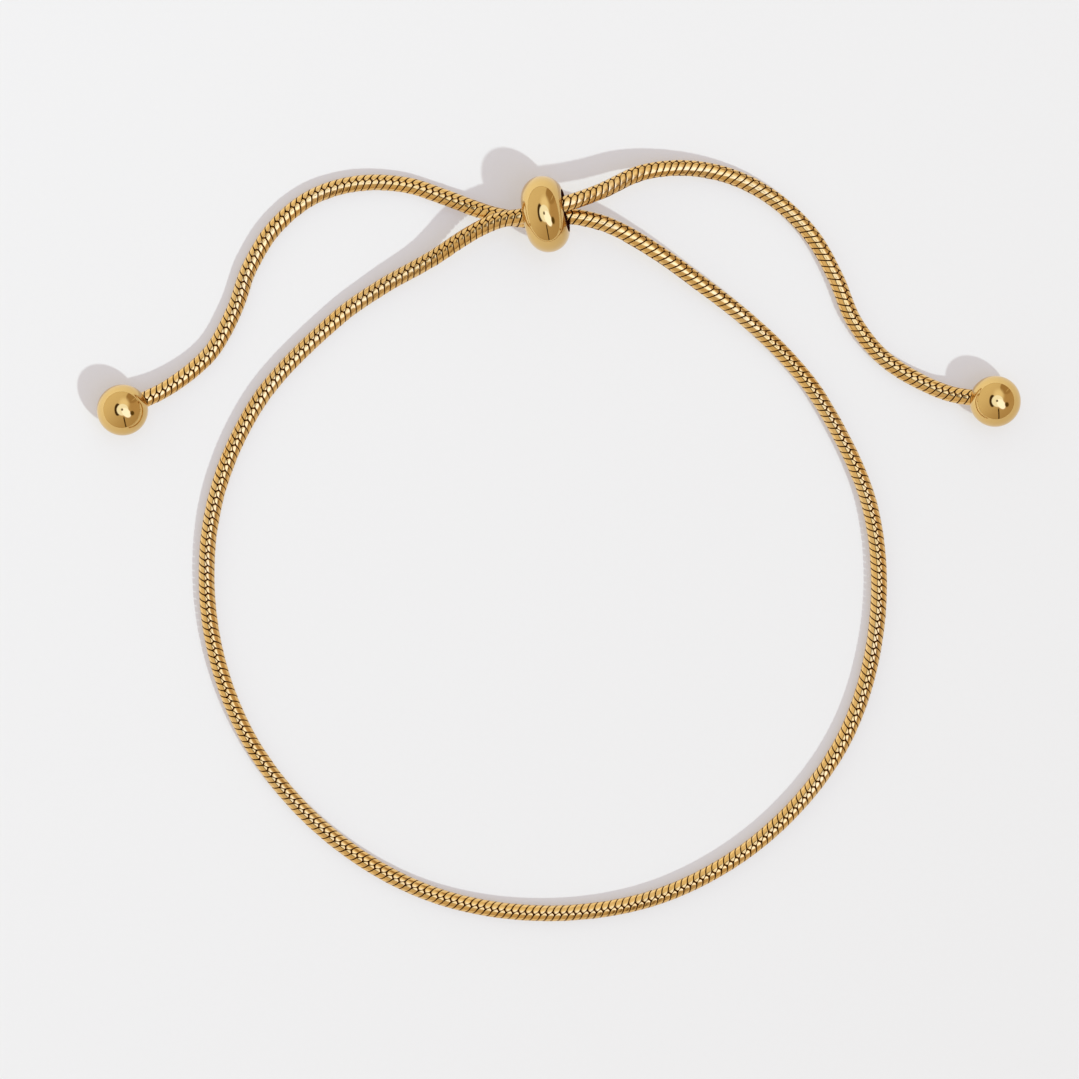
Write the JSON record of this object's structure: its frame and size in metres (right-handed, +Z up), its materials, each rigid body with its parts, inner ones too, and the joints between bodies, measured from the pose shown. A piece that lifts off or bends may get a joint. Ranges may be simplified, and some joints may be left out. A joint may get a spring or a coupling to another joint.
{
  "type": "chain bracelet",
  "caption": "Gold-coloured round snake chain bracelet whose crossed ends run through a sliding bead that sets the loop's size, each finished with a plain ball.",
  "frame": {"origin": "middle of the bracelet's outline seen from above, on the surface that it lies on", "axes": "+Z up from the surface, +X from the left end ball towards the right end ball, +Y from the loop towards the sliding bead"},
  "size_m": [0.0828, 0.0684, 0.0069],
  "materials": {
    "chain_gold": "polished gold plate on formed links",
    "polished_gold": "mirror-polished gold plate",
    "stopper_rubber": "matt moulded rubber"
  },
  "bodies": {
    "root": {"chain": "chain_gold", "slider_bead": "polished_gold", "rubber_stopper": "stopper_rubber", "end_ball_left": "polished_gold", "end_ball_right": "polished_gold"}
  },
  "joints": []
}
